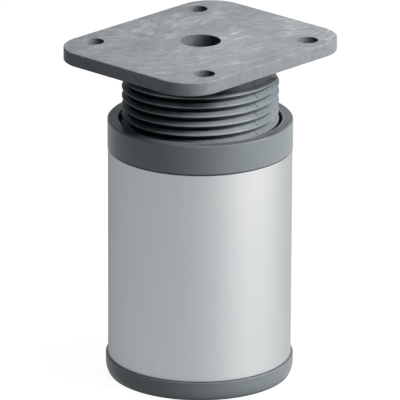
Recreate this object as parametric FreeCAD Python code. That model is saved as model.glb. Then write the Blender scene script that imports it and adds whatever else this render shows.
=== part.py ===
import FreeCAD, Part
import math
import os

# Adjustable cabinet leg, millimetres. The leg's axis is Z and the floor is Z = 0.
# The long side of the mounting plate lies along X.

# Leg tube: a length of round aluminium tube
leg_diameter = 60.0
tube_wall = 1.5
tube_length = 70.8
tube_edge_chamfer = 0.25

# Foot cap: a moulded cap pressed into the lower end of the tube
foot_overhang = 0.75
foot_height = 6.3
foot_sole_inset = 0.95
foot_rounding_height = 3.6
foot_top_chamfer = 0.2
foot_floor = 2.6
foot_plug_height = 13.0
foot_plug_wall = 2.4
foot_plug_lead = 1.0
grip_rib_count = 12
grip_rib_width = 1.4
grip_rib_height = 0.5
stiffener_count = 3
stiffener_width = 1.8

# Threaded collar: a moulded nut pressed into the upper end of the tube
collar_overhang = 0.15
collar_height = 9.9
collar_mouth_clearance = 1.2
collar_mouth_depth = 3.6
collar_top_chamfer = 0.3
collar_seam_chamfer = 0.2
sleeve_length = 21.0
sleeve_wall = 2.6
sleeve_lead = 1.0

# Thread between the spigot and the collar: right-hand, one start
thread_pitch = 3.1
thread_depth = 1.95
thread_flank_angle = 30.0
thread_crest_round = 0.16
thread_root_overlap = 0.2
collar_thread_turns = 5.0

# Mounting plate with its hollow threaded spigot: one moulding
plate_length = 76.6
plate_width = 63.1
plate_thickness = 4.45
plate_corner_radius = 12.1
plate_edge_radius = 0.35
screw_hole_spacing_x = 48.9
screw_hole_spacing_y = 48.9
screw_hole_diameter = 6.9
centre_hole_diameter = 13.2
spigot_length = 45.0
spigot_wall = 3.4
spigot_lead = 1.2
neck_height = 6.2
first_crest_drop = 6.25
first_crest_angle = -59.0

# Where the leg stands at rest: the plate's height over the collar
screwed_out_height = 21.5

# Clearances
press_clearance = 0.05
thread_radial_clearance = 0.35
thread_flank_clearance = 0.25

# Places along the axis
tube_bottom = foot_height
tube_top = tube_bottom + tube_length
collar_top = tube_top + collar_height
plate_bottom = collar_top + screwed_out_height
plate_top = plate_bottom + plate_thickness
spigot_bottom = plate_bottom - spigot_length
first_crest = plate_bottom - first_crest_drop

# Radii worked out from the tube inwards
tube_outside = leg_diameter / 2
tube_inside = tube_outside - tube_wall
plug_radius = tube_inside - press_clearance
collar_bore = plug_radius - sleeve_wall
crest_radius = collar_bore - thread_radial_clearance
root_radius = crest_radius - thread_depth
flank_rise = thread_depth * math.tan(math.radians(thread_flank_angle))
root_flat = thread_pitch / 2 - flank_rise


def revolve(points):
    """Solid of revolution about Z from an outline of radius and height pairs."""
    corners = [FreeCAD.Vector(radius, 0, height) for radius, height in points]
    face = Part.Face(Part.makePolygon(corners + corners[:1]))
    return face.revolve(FreeCAD.Vector(0, 0, 0), FreeCAD.Vector(0, 0, 1), 360)


def cylinder(radius, low, high, x=0.0, y=0.0):
    """Upright cylinder between two heights."""
    return Part.makeCylinder(radius, high - low, FreeCAD.Vector(x, y, low))


def box(x_range, y_range, z_range):
    """Block between two values on each axis."""
    corner = FreeCAD.Vector(x_range[0], y_range[0], z_range[0])
    length = x_range[1] - x_range[0]
    width = y_range[1] - y_range[0]
    return Part.makeBox(length, width, z_range[1] - z_range[0], corner)


def turned_copies(shape, count):
    """Copies of a shape spaced evenly round the leg's axis."""
    copies = []
    for index in range(count):
        copy = shape.copy()
        copy.rotate(FreeCAD.Vector(0, 0, 0), FreeCAD.Vector(0, 0, 1), 360 * index / count)
        copies.append(copy)
    return copies


def helical_ridge(outline, top_angle, top_height, turns):
    """Ridge that winds down from an angle and a height, by a number of turns.

    The outline holds radius and height pairs, with heights counted from the ridge's middle.
    """
    fall = turns * thread_pitch
    path = Part.Wire(Part.makeHelix(thread_pitch, fall, root_radius).Edges)
    corners = [FreeCAD.Vector(radius, 0, height) for radius, height in outline]
    section = Part.makePolygon(corners + corners[:1])
    ridge = path.makePipeShell([section], True, True)
    ridge.rotate(FreeCAD.Vector(0, 0, 0), FreeCAD.Vector(0, 0, 1), top_angle - 360 * turns)
    ridge.translate(FreeCAD.Vector(0, 0, top_height - fall))
    return ridge


def spigot_thread():
    """Outside thread, cut flat at its top under a plain neck."""
    tangent = math.tan(math.radians(thread_flank_angle))
    crest_half = root_flat / 2
    root_half = crest_half + flank_rise
    buried = root_radius - thread_root_overlap
    buried_half = root_half + thread_root_overlap * tangent
    shoulder = crest_radius - thread_crest_round
    shoulder_half = crest_half + thread_crest_round * tangent
    tip_half = crest_half - thread_crest_round / 2
    outline = [
        (buried, -buried_half),
        (shoulder, -shoulder_half),
        (crest_radius, -tip_half),
        (crest_radius, tip_half),
        (shoulder, shoulder_half),
        (buried, buried_half),
    ]
    threaded_height = first_crest - root_half - spigot_bottom - spigot_lead
    turns = math.floor(threaded_height / thread_pitch * 4) / 4
    ridge = helical_ridge(outline, first_crest_angle, first_crest, turns)
    below_neck = cylinder(crest_radius + thread_depth, spigot_bottom, plate_bottom - neck_height)
    return ridge.common(below_neck)


def collar_thread():
    """Inside thread that lies in the middle of the spigot's groove, clear of it all round."""
    tangent = math.tan(math.radians(thread_flank_angle))
    flank_shift = thread_flank_clearance / math.cos(math.radians(thread_flank_angle))
    tip_radius = root_radius + thread_radial_clearance
    tip_half = root_flat / 2 + thread_radial_clearance * tangent - flank_shift
    buried = collar_bore + thread_root_overlap
    base_half = tip_half + (buried - tip_radius) * tangent
    outline = [
        (tip_radius, -tip_half),
        (tip_radius, tip_half),
        (buried, base_half),
        (buried, -base_half),
    ]
    highest = collar_top - collar_mouth_depth - base_half
    grooves_down = math.ceil((first_crest - highest) / thread_pitch - 0.5) + 0.5
    top_height = first_crest - grooves_down * thread_pitch
    return helical_ridge(outline, first_crest_angle, top_height, collar_thread_turns)


def screw_holes():
    """Four plain holes through the plate, one near each corner."""
    holes = []
    for x in (-screw_hole_spacing_x / 2, screw_hole_spacing_x / 2):
        for y in (-screw_hole_spacing_y / 2, screw_hole_spacing_y / 2):
            holes.append(cylinder(screw_hole_diameter / 2, plate_bottom, plate_top, x, y))
    return holes


def flat_plate():
    """Rectangular plate with round corners, a softened rim and its five holes."""
    half_length = plate_length / 2
    half_width = plate_width / 2
    plate = box((-half_length, half_length), (-half_width, half_width), (plate_bottom, plate_top))
    upright = [edge for edge in plate.Edges if abs(edge.tangentAt(edge.FirstParameter).z) > 0.9]
    plate = plate.makeFillet(plate_corner_radius, upright)
    rim = [edge for edge in plate.Edges if abs(edge.tangentAt(edge.FirstParameter).z) < 0.1]
    plate = plate.makeFillet(plate_edge_radius, rim)
    centre_hole = cylinder(centre_hole_diameter / 2, plate_bottom, plate_top)
    return plate.cut(screw_holes() + [centre_hole])


def spigot():
    """Hollow round spigot with its thread, open at the bottom."""
    hollow_radius = root_radius - spigot_wall
    core = revolve([
        (hollow_radius, spigot_bottom),
        (root_radius - spigot_lead / 2, spigot_bottom),
        (root_radius, spigot_bottom + spigot_lead),
        (root_radius, plate_bottom),
        (hollow_radius, plate_bottom),
    ])
    return core.fuse(spigot_thread())


def mounting_plate():
    """Plate and spigot as the one moulding that they are."""
    return flat_plate().fuse(spigot())


def threaded_collar():
    """Collar that sits on the tube's end, with a threaded sleeve inside the tube."""
    outside = tube_outside + collar_overhang
    mouth = crest_radius + collar_mouth_clearance
    sleeve_bottom = tube_top - sleeve_length
    body = revolve([
        (collar_bore, sleeve_bottom),
        (plug_radius - sleeve_lead / 2, sleeve_bottom),
        (plug_radius, sleeve_bottom + sleeve_lead),
        (plug_radius, tube_top),
        (outside - collar_seam_chamfer, tube_top),
        (outside, tube_top + collar_seam_chamfer),
        (outside, collar_top - collar_top_chamfer),
        (outside - collar_top_chamfer, collar_top),
        (mouth, collar_top),
        (mouth, collar_top - collar_mouth_depth),
        (collar_bore, collar_top - collar_mouth_depth),
    ])
    return body.fuse(collar_thread())


def leg_tube():
    """Round tube with its outer edges broken at both ends."""
    return revolve([
        (tube_inside, tube_bottom),
        (tube_outside - tube_edge_chamfer, tube_bottom),
        (tube_outside, tube_bottom + tube_edge_chamfer),
        (tube_outside, tube_top - tube_edge_chamfer),
        (tube_outside - tube_edge_chamfer, tube_top),
        (tube_inside, tube_top),
    ])


def foot_disc():
    """Disc under the tube, with its side rounded in towards a flat sole."""
    outside = tube_outside + foot_overhang
    rounding = (foot_sole_inset ** 2 + foot_rounding_height ** 2) / (2 * foot_sole_inset)
    centre = outside - rounding
    half_turn = math.asin(foot_rounding_height / rounding) / 2
    middle_radius = centre + rounding * math.cos(half_turn)
    middle_height = foot_rounding_height - rounding * math.sin(half_turn)
    sole_edge = FreeCAD.Vector(outside - foot_sole_inset, 0, 0)
    side_start = FreeCAD.Vector(outside, 0, foot_rounding_height)
    arc = Part.Arc(sole_edge, FreeCAD.Vector(middle_radius, 0, middle_height), side_start)
    rest = Part.makePolygon([
        side_start,
        FreeCAD.Vector(outside, 0, foot_height - foot_top_chamfer),
        FreeCAD.Vector(outside - foot_top_chamfer, 0, foot_height),
        FreeCAD.Vector(0, 0, foot_height),
        FreeCAD.Vector(0, 0, 0),
        sole_edge,
    ])
    face = Part.Face(Part.Wire([arc.toShape()] + rest.Edges))
    return face.revolve(FreeCAD.Vector(0, 0, 0), FreeCAD.Vector(0, 0, 1), 360)


def foot_plug():
    """Ring that goes up into the tube, with grip ribs outside and stiffeners inside."""
    top = foot_height + foot_plug_height
    outside = plug_radius - grip_rib_height
    inside = outside - foot_plug_wall
    wall = revolve([
        (inside, foot_height),
        (outside, foot_height),
        (outside, top - foot_plug_lead),
        (outside - foot_plug_lead / 2, top),
        (inside, top),
    ])
    rib_reach = (outside - foot_plug_wall / 2, plug_radius + grip_rib_height)
    rib = box(rib_reach, (-grip_rib_width / 2, grip_rib_width / 2), (foot_height, top - foot_plug_lead))
    ribs = [copy.common(cylinder(plug_radius, foot_height, top)) for copy in turned_copies(rib, grip_rib_count)]
    reach = inside + foot_plug_wall / 2
    web = box((-reach, reach), (-stiffener_width / 2, stiffener_width / 2), (foot_floor, top - foot_plug_lead))
    webs = turned_copies(web, 2 * stiffener_count)[:stiffener_count]
    return wall.fuse(ribs + webs)


def foot_cap():
    """Cap hollowed from above down to its floor, with its plug."""
    hollow_radius = plug_radius - grip_rib_height - foot_plug_wall
    disc = foot_disc().cut(cylinder(hollow_radius, foot_floor, foot_height))
    return disc.fuse(foot_plug())


def main():
    os.makedirs("parts", exist_ok=True)
    pieces = {
        "mounting_plate": mounting_plate(),
        "threaded_collar": threaded_collar(),
        "leg_tube": leg_tube(),
        "foot_cap": foot_cap(),
    }
    for name, piece in pieces.items():
        piece.exportStep("parts/" + name + ".step")
        print(name, "solids", len(piece.Solids), "valid", piece.isValid(), "volume", round(piece.Volume, 1))


main()
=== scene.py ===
# %% [markdown]
# # An adjustable cabinet leg
#
# The leg has four pieces: a moulded mounting plate with a threaded spigot under it, a moulded
# collar that the spigot screws into, a length of aluminium tube, and a moulded foot. Their shapes
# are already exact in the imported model, thread and all. So this lesson is about everything that
# makes exact shapes look real: clean shading, moulded plastic, satin anodised aluminium, the marks
# that a mould leaves, a long lens and a quiet studio.
#
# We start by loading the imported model. The heights of the plate and of the tube's ends are read
# from it, and the few other sizes of the leg that we need repeat those of its source.

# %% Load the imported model
import math

import bmesh
import bpy
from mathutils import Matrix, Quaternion, Vector


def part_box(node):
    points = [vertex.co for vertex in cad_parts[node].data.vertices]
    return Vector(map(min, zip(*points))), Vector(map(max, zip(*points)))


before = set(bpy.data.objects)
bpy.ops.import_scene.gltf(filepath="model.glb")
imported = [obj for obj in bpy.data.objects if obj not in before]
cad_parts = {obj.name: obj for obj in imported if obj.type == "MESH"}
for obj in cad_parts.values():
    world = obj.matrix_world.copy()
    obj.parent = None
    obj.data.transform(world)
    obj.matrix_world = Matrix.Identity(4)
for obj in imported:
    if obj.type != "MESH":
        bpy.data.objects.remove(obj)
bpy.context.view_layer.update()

for node_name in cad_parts:
    low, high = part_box(node_name)
    print(node_name, "from", tuple(round(v, 4) for v in low), "to", tuple(round(v, 4) for v in high))

# %% [markdown]
# ## The camera
#
# The photograph was taken from far away with a very long lens: the tube's sides run almost
# parallel, and the plate hardly shrinks towards the back. A short lens close up would give
# converging sides, and no amount of cropping would cure that. So the camera stands almost two
# metres off and seven tenths of a metre up, on the side where one corner of the plate points at us.
# A camera looks along its own -Z with +Y up, which `to_track_quat` works out for us. A very small
# roll about its own axis is added for the tilt that the picture has.

# %% Camera
MM = 0.001
CAMERA_TURN = math.radians(-46.985)
CAMERA_DISTANCE = 1901.1 * MM
CAMERA_HEIGHT = 717.2 * MM
AIM_HEIGHT = 58.5 * MM
CAMERA_ROLL = math.radians(0.238)
CAMERA_LENS = 555.7
SENSOR_WIDTH = 36.0


def round_the_leg(turn, distance, height):
    """A point beside the leg. Turn 0 is where the camera stands, and more is to its right."""
    angle = CAMERA_TURN + turn
    return Vector((distance * math.sin(angle), -distance * math.cos(angle), height))


def link(thing):
    """Puts a new object into the scene and hands it back."""
    bpy.context.scene.collection.objects.link(thing)
    return thing


def make_camera():
    """A long-lens camera at the picture's viewpoint."""
    data = bpy.data.cameras.new("long_lens")
    data.sensor_width = SENSOR_WIDTH
    data.lens = CAMERA_LENS
    data.clip_start = 0.1
    data.clip_end = 50.0
    camera = link(bpy.data.objects.new("long_lens", data))
    camera.location = round_the_leg(0, CAMERA_DISTANCE, CAMERA_HEIGHT)
    aim = Vector((0, 0, AIM_HEIGHT)) - camera.location
    camera.rotation_mode = "QUATERNION"
    camera.rotation_quaternion = aim.to_track_quat("-Z", "Y") @ Quaternion((0, 0, 1), CAMERA_ROLL)
    return camera


bpy.context.scene.camera = make_camera()
print("camera at", tuple(round(v, 3) for v in bpy.context.scene.camera.location))

# %% [markdown]
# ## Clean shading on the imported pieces
#
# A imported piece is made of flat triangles, and each triangle may carry its own corner points. We
# may not move a single point of it. But a modifier works on a copy, so two of them clean it up:
# Weld joins points that lie in the same place, and a small geometry-nodes group then shades smooth
# across every edge that is nearly flat and keeps a crisp break wherever two faces meet at a real
# corner, such as the collar's rim. The limit angle is the whole art here. It has to be wider than
# the step between two facets of a round wall, and narrower than the gentlest real corner.

# %% Smooth shading
SMOOTH_LIMIT = math.radians(24)
WELD_DISTANCE = 0.001 * MM


def smooth_group():
    """Geometry nodes that shade smooth across every edge gentler than the limit."""
    group = bpy.data.node_groups.new("smooth_round_walls", "GeometryNodeTree")
    group.interface.new_socket("Geometry", in_out="INPUT", socket_type="NodeSocketGeometry")
    group.interface.new_socket("Geometry", in_out="OUTPUT", socket_type="NodeSocketGeometry")
    start = group.nodes.new("NodeGroupInput")
    end = group.nodes.new("NodeGroupOutput")
    angle = group.nodes.new("GeometryNodeInputMeshEdgeAngle")
    gentle = group.nodes.new("FunctionNodeCompare")
    gentle.operation = "LESS_EQUAL"
    gentle.inputs["B"].default_value = SMOOTH_LIMIT
    faces = group.nodes.new("GeometryNodeSetShadeSmooth")
    faces.domain = "FACE"
    edges = group.nodes.new("GeometryNodeSetShadeSmooth")
    edges.domain = "EDGE"
    group.links.new(start.outputs[0], faces.inputs["Geometry"])
    group.links.new(faces.outputs[0], edges.inputs["Geometry"])
    group.links.new(angle.outputs["Unsigned Angle"], gentle.inputs["A"])
    group.links.new(gentle.outputs["Result"], edges.inputs["Shade Smooth"])
    group.links.new(edges.outputs[0], end.inputs[0])
    return group


def shade_round_walls(piece, group):
    """Welds the piece's doubled points and shades its round walls smooth, with its mesh untouched."""
    weld = piece.modifiers.new("join_doubled_points", "WELD")
    weld.merge_threshold = WELD_DISTANCE
    smooth = piece.modifiers.new("smooth_round_walls", "NODES")
    smooth.node_group = group


smoothing = smooth_group()
for node_name, node_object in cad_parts.items():
    shade_round_walls(node_object, smoothing)
    print(node_name, "has", len(node_object.data.polygons), "faces")

# %% [markdown]
# ## A little help with shader nodes
#
# A material is a graph, and graphs get long when every node takes four lines to make. These
# helpers make one node each and plug its inputs in the same line. An input may be a number, a
# colour, or another node's output. That lets a material read like a recipe.

# %% Shader helpers


class Recipe:
    """A material under construction: each call adds one node and hands back its output."""

    def __init__(self, name):
        self.material = bpy.data.materials.new(name)
        self.material.use_nodes = True
        self.tree = self.material.node_tree
        self.tree.nodes.clear()
        place = self.node("ShaderNodeTexCoord")
        self.position = place.outputs["Object"]
        apart = self.node("ShaderNodeSeparateXYZ", inputs={"Vector": self.position})
        self.x, self.y, self.z = apart.outputs
        self.radius = self.node("ShaderNodeVectorMath", {"operation": "LENGTH"},
                                {0: self.stretched((1, 1, 0))}).outputs["Value"]
        facing = self.node("ShaderNodeSeparateXYZ", inputs={"Vector": place.outputs["Normal"]})
        self.facing_x, self.facing_y, self.upward = facing.outputs

    def node(self, kind, settings=None, inputs=None):
        """One node, with its settings made and its inputs filled or linked."""
        made = self.tree.nodes.new(kind)
        for key, value in (settings or {}).items():
            setattr(made, key, value)
        for key, value in (inputs or {}).items():
            if isinstance(value, bpy.types.NodeSocket):
                self.tree.links.new(value, made.inputs[key])
            else:
                made.inputs[key].default_value = value
        return made

    def stretched(self, scale, place=None):
        """The object's own position, or another place, stretched along each axis."""
        place = self.position if place is None else place
        return self.node("ShaderNodeMapping", inputs={"Vector": place, "Scale": scale}).outputs[0]

    def turned(self, angle):
        """The object's own position, turned about the leg's axis by an angle that may vary."""
        inputs = {"Vector": self.position, "Angle": angle}
        return self.node("ShaderNodeVectorRotate", {"rotation_type": "Z_AXIS"}, inputs).outputs[0]

    def noise(self, scale, detail=3.0, stretch=(1, 1, 1), distortion=0.0, place=None):
        """Soft noise from 0 to 1. Scale counts blobs in a metre."""
        inputs = {"Vector": self.stretched(stretch, place), "Scale": scale, "Detail": detail,
                  "Distortion": distortion}
        return self.node("ShaderNodeTexNoise", inputs=inputs).outputs["Fac"]

    def cracks(self, scale, width, stretch=(1, 1, 1), place=None):
        """1 on a net of thin lines and 0 between them."""
        inputs = {"Vector": self.stretched(stretch, place), "Scale": scale}
        net = self.node("ShaderNodeTexVoronoi", {"feature": "DISTANCE_TO_EDGE"}, inputs)
        return self.spread(net.outputs["Distance"], width * 0.3, width, 1.0, 0.0)

    def spread(self, value, low, high, to_low=0.0, to_high=1.0):
        """Maps a value from one range to another, and holds it inside the new one."""
        inputs = {"Value": value, "From Min": low, "From Max": high, "To Min": to_low, "To Max": to_high}
        return self.node("ShaderNodeMapRange", inputs=inputs).outputs[0]

    def math(self, operation, first, second=0.0):
        """One sum."""
        return self.node("ShaderNodeMath", {"operation": operation}, {0: first, 1: second}).outputs[0]

    def above(self, value, level, soft):
        """1 above a level and 0 below it, with a soft edge."""
        return self.spread(value, level - soft, level + soft)

    def below(self, value, level, soft):
        """1 below a level and 0 above it, with a soft edge."""
        return self.spread(value, level - soft, level + soft, 1.0, 0.0)

    def all_of(self, *masks):
        """1 where every mask is 1."""
        result = masks[0]
        for mask in masks[1:]:
            result = self.math("MULTIPLY", result, mask)
        return result

    def band(self, value, low, high, soft):
        """1 between two values and 0 outside them, with soft edges."""
        return self.all_of(self.above(value, low, soft), self.below(value, high, soft))

    def open_sky(self, distance):
        """1 on open faces, and less in corners and grooves that are narrower than the distance."""
        node = self.node("ShaderNodeAmbientOcclusion", {"samples": 8}, {"Distance": distance})
        return node.outputs["AO"]

    def tinted(self, colour, share, factor):
        """The colour times a factor, as far as the share goes."""
        inputs = {0: colour, "Scale": factor}
        grown = self.node("ShaderNodeVectorMath", {"operation": "SCALE"}, inputs)
        return self.mix(share, colour, grown.outputs[0])

    def mix(self, share, first, second):
        """A blend of two colours."""
        inputs = {"Factor": share, "A": first, "B": second}
        made = self.node("ShaderNodeMix", {"data_type": "RGBA"})
        for socket in made.inputs:
            if socket.name in inputs and socket.type in ("RGBA", "VALUE") and socket.enabled:
                value = inputs[socket.name]
                if isinstance(value, bpy.types.NodeSocket):
                    self.tree.links.new(value, socket)
                else:
                    socket.default_value = value
        return next(socket for socket in made.outputs if socket.type == "RGBA")

    def bump(self, height, distance, under=None):
        """Tilts the surface by a height map. Distance is the real height in metres of a full step."""
        inputs = {"Height": height, "Distance": distance, "Strength": 1.0}
        if under is not None:
            inputs["Normal"] = under
        return self.node("ShaderNodeBump", inputs=inputs).outputs["Normal"]

    def finish(self, **inputs):
        """Closes the recipe with the surface shader and its output."""
        surface = self.node("ShaderNodeBsdfPrincipled", inputs=inputs)
        self.node("ShaderNodeOutputMaterial", inputs={"Surface": surface.outputs[0]})
        return self.material


def grey(value, green=0.0, blue=0.0):
    """A grey with a little more green and blue in it than red."""
    return (value, value * (1 + green), value * (1 + blue), 1.0)


print("helpers ready")

# %% [markdown]
# ## Moulded grey plastic
#
# The plate, the collar and the foot are injection moulded. Look closely at such a part and it is
# never one flat colour. The mould's skin is finely spark-eroded, so the surface has a grain that
# breaks up the gloss, and the pigment lies in faint mottles two millimetres or so across. Sharp
# outer edges get painted highlights, and on the foot painted shade. Grooves get painted shade, darker
# than the light alone would make them. Each of these is a mask from 0 to 1, and each mask darkens or
# brightens the colour underneath.
#
# Some masks are bound to one side of the leg. `along` and `how_far` measure in a level direction,
# and the one that we need most points to the camera's right, roughly to where the lamps will stand.

# %% Moulded plastic
GRAIN_SCALE = 2600.0
GRAIN_HEIGHT = 0.006 * MM
MOTTLE_SCALE = 420.0
MOTTLE_SHARE = 0.7
CLOUD_SCALE = 26.0
GROOVE_REACH = 2.5 * MM
GROOVE_SHADE_DARK = 0.35
EDGE_LIGHT_SLOPE = (0.25, 0.93)
EDGE_LIGHT_RADIUS = 29.0 * MM
EDGE_LIGHT_SCALE = 260.0
SHINE_SPREAD = 0.04
LIT_TURN = CAMERA_TURN + math.radians(90)


def along(recipe, turn, x, y):
    """How much of a level vector points one way round the leg."""
    return recipe.math("ADD", recipe.math("MULTIPLY", x, math.sin(turn)),
                       recipe.math("MULTIPLY", y, -math.cos(turn)))


def how_far(recipe, turn):
    """How far a place lies from the leg's axis in one direction, in metres."""
    return along(recipe, turn, recipe.x, recipe.y)


def plastic_colour(recipe, tone, mottling, green, blue):
    """Base colour of moulded plastic, and the share that makes it paler and rougher."""
    mottle = recipe.noise(MOTTLE_SCALE, detail=5.0, distortion=0.8)
    clouds = recipe.noise(CLOUD_SCALE, detail=2.0)
    marks = recipe.math("ADD", recipe.math("MULTIPLY", mottle, MOTTLE_SHARE),
                        recipe.math("MULTIPLY", clouds, 1 - MOTTLE_SHARE))
    share = recipe.spread(marks, 0.35, 0.65)
    dark = grey(tone * (1 - mottling), green + 0.01, blue + 0.02)
    pale = grey(tone * (1 + mottling), green - 0.01, blue - 0.02)
    return recipe.mix(share, dark, pale), share


def plastic_shine(recipe, share, roughness):
    """Roughness that follows the mottles."""
    return recipe.spread(share, 0.0, 1.0, roughness - SHINE_SPREAD, roughness + SHINE_SPREAD)


def painted_edge_light(recipe, colour, factor):
    """Painted highlight on the outer edges where the factor is above 1, and painted shade where it is below
    1. They are the only outer faces that slope gently upwards.
    """
    sloping = recipe.band(recipe.upward, *EDGE_LIGHT_SLOPE, 0.05)
    outside = recipe.above(recipe.radius, EDGE_LIGHT_RADIUS, 0.2 * MM)
    broken = recipe.spread(recipe.noise(EDGE_LIGHT_SCALE, detail=4.0), 0.42, 0.6)
    return recipe.tinted(colour, recipe.all_of(sloping, outside, broken), factor)


def painted_groove_shade(recipe, colour, sky, where=1.0):
    """Paints shade into corners and grooves."""
    hidden = recipe.spread(sky, 0.25, 0.75, 1.0, 0.0)
    return recipe.tinted(colour, recipe.all_of(hidden, where), GROOVE_SHADE_DARK)


def finish_plastic(recipe, colour, shine, gloss):
    """Closes a plastic with its gloss and its grain."""
    grain = recipe.noise(GRAIN_SCALE, detail=2.0)
    return recipe.finish(**{
        "Base Color": colour,
        "Roughness": shine,
        "Specular IOR Level": gloss,
        "Normal": recipe.bump(grain, GRAIN_HEIGHT),
    })


print("the lit side faces", round(math.degrees(LIT_TURN)), "degrees round")

# %% [markdown]
# ## The collar and the foot
#
# Both look like the same plastic, so they share a recipe, with slightly different tones. The
# collar's level top carries rings: a painted highlight at the mouth's edge, two thin dark broken
# ones, and a stretch of painted light in front. A thin dark line of painted shade runs along its
# lower edge, where it sits on the tube.
#
# One mask here is no mark at all. The lamps leave the collar's far side darker than the picture has
# it, so that side is painted paler, and the foot's a touch darker. That is a trick, and it keeps its
# place when the lamps move.

# %% Collar and foot finishes
tube_low, tube_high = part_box("leg_tube")
MOUTH_RING = (26.5 * MM, 27.3 * MM)
MOUTH_HIGHLIGHT = 1.4
DARK_RINGS = ((27.6 * MM, 27.9 * MM), (28.7 * MM, 29.1 * MM))
DARK_RING_SCALE = 55.0
DARK_RING_DARK = 0.35
LIGHT_ARC = (-24 * MM, -4 * MM)
ARC_LIGHT = 1.45
FAR_SIDE = (-28 * MM, -8 * MM)
LOWER_GAP_HEIGHT = 0.42 * MM
LOWER_GAP_SHADE = 0.1
MOULDING_MOTTLING = 0.04
MOULDING_GREEN = 0.165
MOULDING_BLUE = 0.27
MOULDING_GLOSS = 0.6


def top_rings(recipe, colour):
    """Rings on level faces: a painted highlight at the mouth, painted light on a stretch in front, and two
    dark ones.
    """
    level = recipe.spread(recipe.upward, 0.9, 0.98)
    mouth = recipe.band(recipe.radius, *MOUTH_RING, 0.1 * MM)
    # Painted highlight on the mouth's edge.
    colour = recipe.tinted(colour, recipe.all_of(level, mouth), MOUTH_HIGHLIGHT)
    # Painted light on a stretch of the level top in front, on the side away from the lamps.
    arc = recipe.band(how_far(recipe, LIT_TURN), *LIGHT_ARC, 4 * MM)
    near = recipe.spread(how_far(recipe, CAMERA_TURN), 0.0, 5 * MM)
    colour = recipe.tinted(colour, recipe.all_of(level, arc, near), ARC_LIGHT)
    # Two thin dark broken rings on the level faces.
    broken = recipe.spread(recipe.noise(DARK_RING_SCALE, detail=2.0), 0.46, 0.56)
    for low, high in DARK_RINGS:
        ring = recipe.band(recipe.radius, low, high, 0.1 * MM)
        colour = recipe.tinted(colour, recipe.all_of(level, ring, broken), DARK_RING_DARK)
    return colour


def painted_far_side_light(recipe, colour, factor):
    """Painted light on the walls away from the lamps where the factor is above 1, and painted shade where
    it is below 1.
    """
    far = recipe.spread(how_far(recipe, LIT_TURN), *FAR_SIDE, 1.0, 0.0)
    walls = recipe.spread(recipe.upward, 0.6, 0.3)
    return recipe.tinted(colour, recipe.all_of(far, walls), factor)


def moulded_plastic(name, tone, roughness, edge_factor, far_factor):
    """Satin moulded plastic for the collar and the foot."""
    recipe = Recipe(name)
    colour, share = plastic_colour(recipe, tone, MOULDING_MOTTLING, MOULDING_GREEN, MOULDING_BLUE)
    colour = painted_far_side_light(recipe, colour, far_factor)
    colour = painted_edge_light(recipe, colour, edge_factor)
    colour = top_rings(recipe, colour)
    # Painted shade along the lower edge, in the gap where the collar sits on the tube.
    lower_gap_shade = recipe.band(recipe.z, tube_high[2], tube_high[2] + LOWER_GAP_HEIGHT, 0.03 * MM)
    colour = recipe.tinted(colour, lower_gap_shade, LOWER_GAP_SHADE)
    colour = painted_groove_shade(recipe, colour, recipe.open_sky(GROOVE_REACH))
    return finish_plastic(recipe, colour, plastic_shine(recipe, share, roughness), MOULDING_GLOSS)


collar_plastic = moulded_plastic("grey_collar_moulding", 0.30, 0.32, edge_factor=1.2, far_factor=1.38)
foot_plastic = moulded_plastic("grey_foot_moulding", 0.275, 0.38, edge_factor=0.9, far_factor=0.95)
print("made", collar_plastic.name, foot_plastic.name)

# %% [markdown]
# ## The mounting plate's own sizes
#
# The plate and its spigot are one moulding, and it carries the most marks. A thread is easy to mask,
# since its crests, flanks and roots differ in radius and in the way they face. There is no need to
# follow the helix. All heights are counted down from the plate's top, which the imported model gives.

# %% Sizes of the plate and its thread
plate_low, plate_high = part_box("mounting_plate")
PLATE_THICKNESS = 4.45 * MM
NECK_HEIGHT = 6.2 * MM
CREST_RADIUS = 25.5 * MM
ROOT_RADIUS = 23.55 * MM
BESIDE_SPIGOT = 29.5 * MM
PLATE_UNDERSIDE = plate_high[2] - PLATE_THICKNESS
NECK_BOTTOM = PLATE_UNDERSIDE - NECK_HEIGHT


def on_thread(recipe):
    """1 below the plain neck and 0 above its lower end."""
    return recipe.below(recipe.z, NECK_BOTTOM, 0.1 * MM)


def over_thread(recipe):
    """1 on the plate and its neck and 0 on the thread."""
    return recipe.above(recipe.z, NECK_BOTTOM + 0.1 * MM, 0.1 * MM)


def near_spigot(recipe):
    """1 on the spigot and 0 on the plate's outer parts."""
    return recipe.below(recipe.radius, BESIDE_SPIGOT, 0.5 * MM)


print("thread begins", round(NECK_BOTTOM / MM, 1), "mm above the floor")

# %% [markdown]
# ## Marks on the plate's faces
#
# The wide face has a painted sheen round the centre hole and painted light on its lit side, and thin
# streaks and scratches in it that swirl as a melt does. The streaks are noise that is drawn out along
# one way, and the way itself wanders with a larger, slower noise. The narrow sides get painted light
# that makes them paler, most of all on the far side.

# %% Wide face and rim
CENTRE_SHEEN = (9.0 * MM, 36.0 * MM)
CENTRE_SHEEN_PALE = 1.10
LIT_SIDE = (-8 * MM, 12 * MM)
LIT_SIDE_PALE = 1.14
STREAK_TURN = math.radians(13)
SWIRL = math.radians(75)
SWIRL_SCALE = 16.0
PATCH_SCALE = 52.0
PATCH_STRETCH = (0.7, 1.0, 1.0)
PATCH_PALE = 1.15
STREAK_SCALE = 820.0
STREAK_STRETCH = (0.15, 1.0, 1.0)
STREAK_PALE = 1.28
FAINT_STREAK_PALE = 1.12
BREAK_SCALE = 160.0
SCRATCH_SCALE = 95.0
SCRATCH_WIDTH = 0.022
SCRATCH_STRETCH = (0.22, 1.0, 1.0)
SCRATCH_PALE = 1.35
SPECK_SCALE = 1500.0
SPECK_DARK = 0.7
RIM_RADIUS = 30.5 * MM
RIM_FADE = (-16 * MM, -4 * MM)
RIM_FAR_LIGHT = 1.55
RIM_NEAR_LIGHT = 1.12


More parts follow.
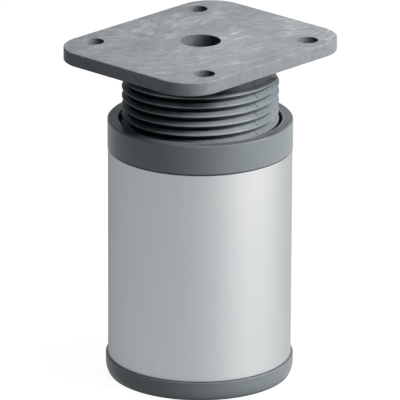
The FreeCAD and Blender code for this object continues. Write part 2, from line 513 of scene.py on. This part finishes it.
def plate_streaks(recipe, colour):
    """Painted sheen round the centre, painted light on the lit side, swirling streaks, fine scratches and
    specks, on the wide face only.
    """
    top = recipe.spread(recipe.upward, 0.95, 0.99)
    bend = recipe.noise(SWIRL_SCALE, detail=1.0)
    swirled = recipe.turned(recipe.spread(bend, 0.3, 0.7, STREAK_TURN - SWIRL / 2, STREAK_TURN + SWIRL / 2))
    centre_sheen = recipe.spread(recipe.radius, *CENTRE_SHEEN, 1.0, 0.0)
    lit = recipe.spread(how_far(recipe, LIT_TURN), *LIT_SIDE)
    patches = recipe.spread(recipe.noise(PATCH_SCALE, 4.0, PATCH_STRETCH, 1.2), 0.42, 0.60)
    streaks = recipe.spread(recipe.noise(STREAK_SCALE, 5.0, STREAK_STRETCH, 0.6, swirled), 0.50, 0.64)
    broken = recipe.spread(recipe.noise(BREAK_SCALE, detail=2.0), 0.45, 0.60)
    scratches = recipe.cracks(SCRATCH_SCALE, SCRATCH_WIDTH, SCRATCH_STRETCH, swirled)
    specks = recipe.spread(recipe.noise(SPECK_SCALE, detail=1.0), 0.70, 0.74)
    # Painted sheen round the centre hole, and painted light on the lit side.
    colour = recipe.tinted(colour, recipe.all_of(top, centre_sheen), CENTRE_SHEEN_PALE)
    colour = recipe.tinted(colour, recipe.all_of(top, lit), LIT_SIDE_PALE)
    colour = recipe.tinted(colour, recipe.all_of(top, patches), PATCH_PALE)
    colour = recipe.tinted(colour, recipe.all_of(top, streaks, patches), STREAK_PALE)
    colour = recipe.tinted(colour, recipe.all_of(top, streaks, broken), FAINT_STREAK_PALE)
    colour = recipe.tinted(colour, recipe.all_of(top, scratches, broken), SCRATCH_PALE)
    return recipe.tinted(colour, recipe.all_of(top, specks), SPECK_DARK)


def painted_rim_light(recipe, colour):
    """Painted light on the plate's narrow sides, paler than its wide face, and most of all on the far side.
    """
    steep = recipe.band(recipe.upward, -0.3, 0.3, 0.1)
    outside = recipe.above(recipe.radius, RIM_RADIUS, 0.5 * MM)
    factor = recipe.spread(how_far(recipe, LIT_TURN), *RIM_FADE, RIM_FAR_LIGHT, RIM_NEAR_LIGHT)
    return recipe.tinted(colour, recipe.all_of(steep, outside), factor)


print("wide face and rim ready")

# %% [markdown]
# ## Marks on the thread
#
# - The crests carry a painted highlight, and the upper flanks painted light, a little less. Both fade
#   towards the lamps, where the light alone makes them pale enough.
# - The roots and the lower flanks get painted shade and are made matt. The shade reaches further out
#   on the side away from the lamps and is thinner towards them.
# - A fine seam, as a mould in two halves leaves it, runs down the front of the spigot in the plane
#   x = 0. It crosses the neck and each flank, and leaves out the crests.

# %% Thread
CREST_DEPTH = 0.15 * MM
CREST_HIGHLIGHT = 2.0
CREST_FADE = (12 * MM, 20 * MM)
CREST_FADED = 0.1
FLANK_LIGHT = 1.5
FLANK_FADE = (13 * MM, 20 * MM)
FLANK_FADED = 0.3
UPPER_FLANK = (0.5, 0.8)
LOWER_FLANK = (-0.2, -0.6)
ROOT_SHADE_DARK = 0.05
ROOT_SHADE_MATT = 0.95
ROOT_SHADE_DEPTH = 0.2 * MM
ROOT_SHADE_EXTRA = 0.3 * MM
ROOT_SHADE_FADE = (2 * MM, 18 * MM)
ROOT_SHADE_FADED = 0.5
THREAD_COOL = (1.0, 1.045, 1.055)
SEAM_HALF = 0.15 * MM
SEAM_SOFT = 0.025 * MM
SEAM_DARK = 0.25


def painted_thread_light(recipe, colour):
    """Painted highlights on the crests, painted light on the upper flanks, and a cooler grey for the whole
    thread.
    """
    side = how_far(recipe, LIT_TURN)
    thread = on_thread(recipe)
    crest = recipe.above(recipe.radius, CREST_RADIUS - CREST_DEPTH, 0.05 * MM)
    inside = recipe.below(recipe.radius, CREST_RADIUS - CREST_DEPTH, 0.05 * MM)
    crests = recipe.all_of(thread, crest, recipe.spread(side, *CREST_FADE, 1.0, CREST_FADED))
    flanks = recipe.all_of(thread, inside, recipe.spread(recipe.upward, *UPPER_FLANK),
                           recipe.spread(side, *FLANK_FADE, 1.0, FLANK_FADED))
    # Painted highlight on the crests, and painted light on the upper flanks.
    colour = recipe.tinted(colour, crests, CREST_HIGHLIGHT)
    colour = recipe.tinted(colour, flanks, FLANK_LIGHT)
    cool = recipe.node("ShaderNodeVectorMath", {"operation": "MULTIPLY"}, {0: colour, 1: THREAD_COOL})
    return recipe.mix(thread, colour, cool.outputs[0])


def painted_thread_shade(recipe, colour, shine):
    """Painted shade on the roots and lower flanks, which are also made matt."""
    full = recipe.spread(how_far(recipe, LIT_TURN), *ROOT_SHADE_FADE, 1.0, 0.0)
    reach = recipe.math("SUBTRACT", recipe.radius, recipe.math("MULTIPLY", full, ROOT_SHADE_EXTRA))
    root = recipe.below(reach, ROOT_RADIUS + ROOT_SHADE_DEPTH, 0.15 * MM)
    inside = recipe.below(recipe.radius, CREST_RADIUS - CREST_DEPTH, 0.05 * MM)
    under = recipe.all_of(inside, recipe.spread(recipe.upward, *LOWER_FLANK))
    # Painted shade on the roots and lower flanks, reaching further out away from the lamps.
    root_shade = recipe.all_of(on_thread(recipe), recipe.math("MAXIMUM", under, root),
                           recipe.spread(full, 0.0, 1.0, ROOT_SHADE_FADED, 1.0))
    matt = recipe.math("MAXIMUM", shine, recipe.math("MULTIPLY", root_shade, ROOT_SHADE_MATT))
    return recipe.tinted(colour, root_shade, ROOT_SHADE_DARK), matt


def mould_seam(recipe, colour):
    """Fine dark seam down the front of the spigot."""
    line = recipe.band(recipe.x, -SEAM_HALF, SEAM_HALF, 0.05 * MM)
    front = recipe.below(recipe.y, -0.75 * MM, 0.25 * MM)
    outer = recipe.above(recipe.radius, ROOT_RADIUS - 3 * SEAM_SOFT, SEAM_SOFT)
    not_crest = recipe.below(recipe.radius, CREST_RADIUS - 5 * SEAM_SOFT, SEAM_SOFT)
    below_plate = recipe.below(recipe.z, PLATE_UNDERSIDE - SEAM_SOFT, SEAM_SOFT)
    return recipe.tinted(colour, recipe.all_of(line, front, outer, not_crest, below_plate), SEAM_DARK)


print("thread marks ready")

# %% [markdown]
# ## Painted shadow
#
# Three soft lamps don't give all the dark that the picture has. What is missing is painted on: on
# the upper flanks away from the lamps, on the neck, on the first turn below it, under the plate's
# front corner, on the plate's underside, on one wall of each hole, and deep in the collar's mouth.
# It is a trick like the collar's pale side. It was set by measuring tones in the picture, and it
# stays in its place when the lamps or the pieces move.

# %% Shadow that the lamps don't give
FLANK_SHADE_DARK = 0.4
NECK_DARK = 0.5
FIRST_TURN = 4 * MM
FIRST_TURN_SIDE = (-8 * MM, 4 * MM)
FIRST_TURN_DARK = 0.35
CORNER_DEPTH = 0.6 * MM
CORNER_SIDE = (-10 * MM, 8 * MM)
CORNER_DARK = 0.35
UNDERSIDE_FADE = (30 * MM, 42 * MM)
UNDERSIDE_DARK = 0.3
HOLES_REACH = 28.45 * MM
HOLE_WALL_DARK = 0.15
MOUTH_SKY = (0.2, 0.4)
MOUTH_DARK = 0.12


def flank_shadow(recipe, colour):
    """Darkens the upper flanks away from the lamps, and the first turn below the neck."""
    side = how_far(recipe, LIT_TURN)
    thread = on_thread(recipe)
    far = recipe.below(side, -3 * MM, 4 * MM)
    inner = recipe.spread(recipe.radius, ROOT_RADIUS + 0.5 * MM, CREST_RADIUS - 0.2 * MM, 1.0, 0.0)
    flanks = recipe.all_of(thread, recipe.spread(recipe.upward, *UPPER_FLANK), far, inner)
    colour = recipe.tinted(colour, flanks, FLANK_SHADE_DARK)
    first_turn = recipe.above(recipe.z, NECK_BOTTOM - FIRST_TURN, 0.2 * MM)
    middle = recipe.band(side, *FIRST_TURN_SIDE, 3 * MM)
    return recipe.tinted(colour, recipe.all_of(thread, first_turn, middle), FIRST_TURN_DARK)


def neck_shadow(recipe, colour):
    """Darkens the neck, twice outside its lit side, and the strip under the plate's front corner."""
    side = how_far(recipe, LIT_TURN)
    spigot = near_spigot(recipe)
    wall = recipe.all_of(recipe.band(recipe.z, NECK_BOTTOM, PLATE_UNDERSIDE, 0.1 * MM), spigot)
    corner = recipe.all_of(recipe.band(recipe.z, NECK_BOTTOM - CORNER_DEPTH, PLATE_UNDERSIDE, 0.2 * MM),
                           spigot, recipe.band(side, *CORNER_SIDE, 2 * MM))
    colour = recipe.tinted(colour, wall, NECK_DARK)
    colour = recipe.tinted(colour, recipe.all_of(wall, recipe.below(side, 11 * MM, 2 * MM)), NECK_DARK)
    return recipe.tinted(colour, corner, CORNER_DARK)


def plate_shadow(recipe, colour, sky):
    """Darkens the plate's underside, one wall of each hole, and what lies deep in narrow places."""
    underside = recipe.all_of(recipe.spread(recipe.upward, -0.8, -0.95),
                              recipe.spread(recipe.radius, *UNDERSIDE_FADE, 1.0, 0.0), over_thread(recipe))
    away = recipe.spread(along(recipe, LIT_TURN, recipe.facing_x, recipe.facing_y), -0.1, -0.6)
    across = recipe.math("MAXIMUM", recipe.math("ABSOLUTE", recipe.x), recipe.math("ABSOLUTE", recipe.y))
    hole_wall = recipe.all_of(recipe.above(recipe.z, PLATE_UNDERSIDE + 0.05 * MM, 0.05 * MM),
                              recipe.below(across, HOLES_REACH, 0.05 * MM),
                              recipe.band(recipe.upward, -0.3, 0.3, 0.1), away)
    deep = recipe.spread(sky, *MOUTH_SKY, 1.0, 0.0)
    colour = recipe.tinted(colour, underside, UNDERSIDE_DARK)
    colour = recipe.tinted(colour, hole_wall, HOLE_WALL_DARK)
    return recipe.tinted(colour, deep, MOUTH_DARK)


print("painted shadow ready")

# %% [markdown]
# ## The plate's finish
#
# Now the recipe can be read from top to bottom. With the gloss of the other two mouldings its thread
# came out brighter than in the picture, so its gloss is set lower.

# %% Mounting plate finish
PLATE_TONE = 0.325
PLATE_MOTTLING = 0.13
PLATE_GREEN = 0.115
PLATE_BLUE = 0.205
PLATE_ROUGHNESS = 0.42
PLATE_EDGE_LIGHT = 1.35
PLATE_GLOSS = 0.1


def plate_plastic_finish(name):
    """Moulded plastic with the mounting plate's marks."""
    recipe = Recipe(name)
    colour, share = plastic_colour(recipe, PLATE_TONE, PLATE_MOTTLING, PLATE_GREEN, PLATE_BLUE)
    colour = plate_streaks(recipe, colour)
    colour = painted_edge_light(recipe, colour, PLATE_EDGE_LIGHT)
    colour = painted_rim_light(recipe, colour)
    colour = painted_thread_light(recipe, colour)
    colour, shine = painted_thread_shade(recipe, colour, plastic_shine(recipe, share, PLATE_ROUGHNESS))
    colour = mould_seam(recipe, colour)
    colour = flank_shadow(recipe, colour)
    colour = neck_shadow(recipe, colour)
    sky = recipe.open_sky(GROOVE_REACH)
    colour = plate_shadow(recipe, colour, sky)
    colour = painted_groove_shade(recipe, colour, sky, over_thread(recipe))
    return finish_plastic(recipe, colour, shine, PLATE_GLOSS)


plate_plastic = plate_plastic_finish("grey_plate_moulding")
print("made", plate_plastic.name)

# %% [markdown]
# ## Satin anodised aluminium
#
# The tube is extruded, etched to a matt skin and anodised. Etching scatters the light, so the tube
# shows no sharp reflections, only one broad soft highlight that runs down its whole length.
# Extrusion leaves faint lines along the tube. We get both from a metal with a middling roughness,
# and noise that is squeezed tight round the tube and drawn out along it. A metal turns bright where
# it is seen at a flat angle, and its edge tint holds that down. At each end, where the tube meets a
# moulding, a thin dark line of painted shade stands for the gap between the two.

# %% Satin aluminium
LINE_SCALE = 900.0
LINE_HEIGHT = 0.004 * MM
LINE_STRETCH = (1.0, 1.0, 0.02)
END_GAP_HEIGHT = 0.125 * MM
END_GAP_SOFT = 0.025 * MM
FOOT_GAP_SHADE = 0.6
COLLAR_GAP_SHADE = 0.06
EDGE_TINT = 0.55
TONE_SPREAD = 0.015


def satin_aluminium(name, tone, roughness):
    """Etched and anodised extrusion."""
    recipe = Recipe(name)
    lines = recipe.noise(LINE_SCALE, stretch=LINE_STRETCH)
    etch = recipe.noise(GRAIN_SCALE, detail=2.0)
    clouds = recipe.noise(CLOUD_SCALE, detail=2.0)
    shine = recipe.spread(recipe.math("ADD", lines, clouds), 0.6, 1.4, roughness - 0.03, roughness + 0.03)
    scored = recipe.bump(lines, LINE_HEIGHT)
    dark = grey(tone * (1 - TONE_SPREAD), 0.03, 0.055)
    pale = grey(tone * (1 + TONE_SPREAD), 0.02, 0.04)
    colour = recipe.mix(recipe.spread(clouds, 0.3, 0.7), dark, pale)
    # Painted shade at both ends of the tube, where it meets a moulding.
    foot_gap_shade = recipe.below(recipe.z, tube_low[2] + END_GAP_HEIGHT, END_GAP_SOFT)
    collar_gap_shade = recipe.above(recipe.z, tube_high[2] - END_GAP_HEIGHT, END_GAP_SOFT)
    colour = recipe.tinted(colour, foot_gap_shade, FOOT_GAP_SHADE)
    return recipe.finish(**{
        "Base Color": recipe.tinted(colour, collar_gap_shade, COLLAR_GAP_SHADE),
        "Metallic": 1.0,
        "Specular Tint": grey(EDGE_TINT),
        "Roughness": shine,
        "Normal": recipe.bump(etch, GRAIN_HEIGHT * 0.6, under=scored),
    })


tube_metal = satin_aluminium("satin_anodised_tube", 0.655, 0.58)
print("made", tube_metal.name)

# %% [markdown]
# ## Dressing the pieces
#
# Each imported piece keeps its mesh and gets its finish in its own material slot.

# %% Put the finishes on
finishes = {
    "mounting_plate": plate_plastic,
    "threaded_collar": collar_plastic,
    "leg_tube": tube_metal,
    "foot_cap": foot_plastic,
}
for node_name, finish in finishes.items():
    node_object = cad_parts[node_name]
    node_object.data.materials.clear()
    node_object.data.materials.append(finish)
    print(node_name, "wears", finish.name)

# %% [markdown]
# ## The floor
#
# The picture's ground is plain white, and the object hardly gets any light back from it: the
# thread is almost black where it faces down. A truly white floor would send back far too much. So
# the floor is a middling grey, and only what the camera or a shiny surface sees of it gets a light
# of its own that lifts it to white. Its shadow stays, because that light is added to the shading
# and doesn't replace it. The grey leans a little to blue, as the picture's shadows do.

# %% Floor
FLOOR_HALF = 3.0
FLOOR_COLOUR = (0.245, 0.28, 0.292, 1.0)
FLOOR_GLOW = 0.93
FLOOR_MIRROR_SHARE = 0.62


def seen_directly(tree, mirror_share):
    """1 where the camera looks, a share of it where a shiny surface does, and else 0."""
    path = tree.nodes.new("ShaderNodeLightPath")
    share = path.outputs["Is Camera Ray"]
    for ray in ("Is Glossy Ray", "Is Transmission Ray"):
        dimmed = tree.nodes.new("ShaderNodeMath")
        dimmed.operation = "MULTIPLY"
        dimmed.inputs[1].default_value = mirror_share
        tree.links.new(path.outputs[ray], dimmed.inputs[0])
        either = tree.nodes.new("ShaderNodeMath")
        either.operation = "MAXIMUM"
        tree.links.new(share, either.inputs[0])
        tree.links.new(dimmed.outputs[0], either.inputs[1])
        share = either.outputs[0]
    return share


def make_floor():
    """A wide floor under the foot, grey to the light and white to the camera."""
    mesh = bpy.data.meshes.new("studio_floor")
    shape = bmesh.new()
    bmesh.ops.create_grid(shape, x_segments=1, y_segments=1, size=FLOOR_HALF)
    shape.to_mesh(mesh)
    shape.free()
    floor = link(bpy.data.objects.new("studio_floor", mesh))
    recipe = Recipe("white_floor")
    seen = seen_directly(recipe.tree, FLOOR_MIRROR_SHARE)
    matt = recipe.node("ShaderNodeBsdfDiffuse", inputs={"Color": FLOOR_COLOUR})
    glow = recipe.node("ShaderNodeEmission", inputs={"Strength": recipe.math("MULTIPLY", seen, FLOOR_GLOW)})
    both = recipe.node("ShaderNodeAddShader", inputs={0: matt.outputs[0], 1: glow.outputs[0]})
    recipe.node("ShaderNodeOutputMaterial", inputs={"Surface": both.outputs[0]})
    mesh.materials.append(recipe.material)
    return floor


make_floor()
print("floor", 2 * FLOOR_HALF, "m wide")

# %% [markdown]
# ## The studio light
#
# The object itself tells us where the light stands. The collar is a dial: its tone climbs steadily
# from the middle to the right edge, so the main softbox stands almost square to our right. The
# thread's upper flanks are bright under the plate's right side and black under its left side, so
# that box is also fairly high and not too large, and the plate shades what lies behind the corner.
# The tube is another dial, and a more exact one, because metal mirrors what it sees: its highlight
# sits a third of the way round, and needs a second, low and flat box at about 60 degrees. The
# plate's top is as bright as its right side, which takes a small box overhead. What faces left
# gets little more than what the floor sends back.

# %% Lights
SIDE_DISTANCE = 0.75
LOW_TURN = math.radians(60)
LOW_HEIGHT = 0.08
LOW_SIZE = (0.88, 0.19)
LOW_POWER = 1.72
HIGH_TURN = math.radians(79)
HIGH_HEIGHT = 0.55
HIGH_SIZE = (0.6, 0.5)
HIGH_POWER = 6.05
TOP_HEIGHT = 0.5
TOP_SIZE = (0.35, 0.35)
TOP_POWER = 0.85
LAMP_COLOUR = (1.0, 0.95, 0.915)
BACKDROP_COLOUR = (0.95, 1.0, 1.03, 1.0)
WHITE = (1.0, 1.0, 1.0, 1.0)
BACKDROP_MIRROR_SHARE = 0.40
LAMP_AIM = Vector((0, 0, 70 * MM))


def softbox(name, place, size, power):
    """A soft light that faces the leg."""
    data = bpy.data.lights.new(name, "AREA")
    data.shape = "RECTANGLE"
    data.size, data.size_y = size
    data.energy = power
    data.color = LAMP_COLOUR
    lamp = link(bpy.data.objects.new(name, data))
    lamp.location = place
    lamp.rotation_euler = (LAMP_AIM - place).to_track_quat("-Z", "Y").to_euler()
    return lamp


def make_world():
    """A backdrop that the camera sees as white and shiny surfaces as bluish grey."""
    world = bpy.data.worlds.new("studio")
    world.use_nodes = True
    tree = world.node_tree
    tree.nodes.clear()
    path = tree.nodes.new("ShaderNodeLightPath")
    tone = tree.nodes.new("ShaderNodeMixRGB")
    tone.inputs["Color1"].default_value = BACKDROP_COLOUR
    tone.inputs["Color2"].default_value = WHITE
    background = tree.nodes.new("ShaderNodeBackground")
    output = tree.nodes.new("ShaderNodeOutputWorld")
    tree.links.new(path.outputs["Is Camera Ray"], tone.inputs["Fac"])
    tree.links.new(tone.outputs[0], background.inputs["Color"])
    tree.links.new(seen_directly(tree, BACKDROP_MIRROR_SHARE), background.inputs["Strength"])
    tree.links.new(background.outputs[0], output.inputs["Surface"])
    bpy.context.scene.world = world


softbox("low_side_softbox", round_the_leg(LOW_TURN, SIDE_DISTANCE, LOW_HEIGHT), LOW_SIZE, LOW_POWER)
softbox("high_side_softbox", round_the_leg(HIGH_TURN, SIDE_DISTANCE, HIGH_HEIGHT), HIGH_SIZE, HIGH_POWER)
softbox("overhead_softbox", Vector((0, 0, TOP_HEIGHT)), TOP_SIZE, TOP_POWER)
make_world()
bpy.context.scene.view_settings.view_transform = "Standard"
print("studio lit")
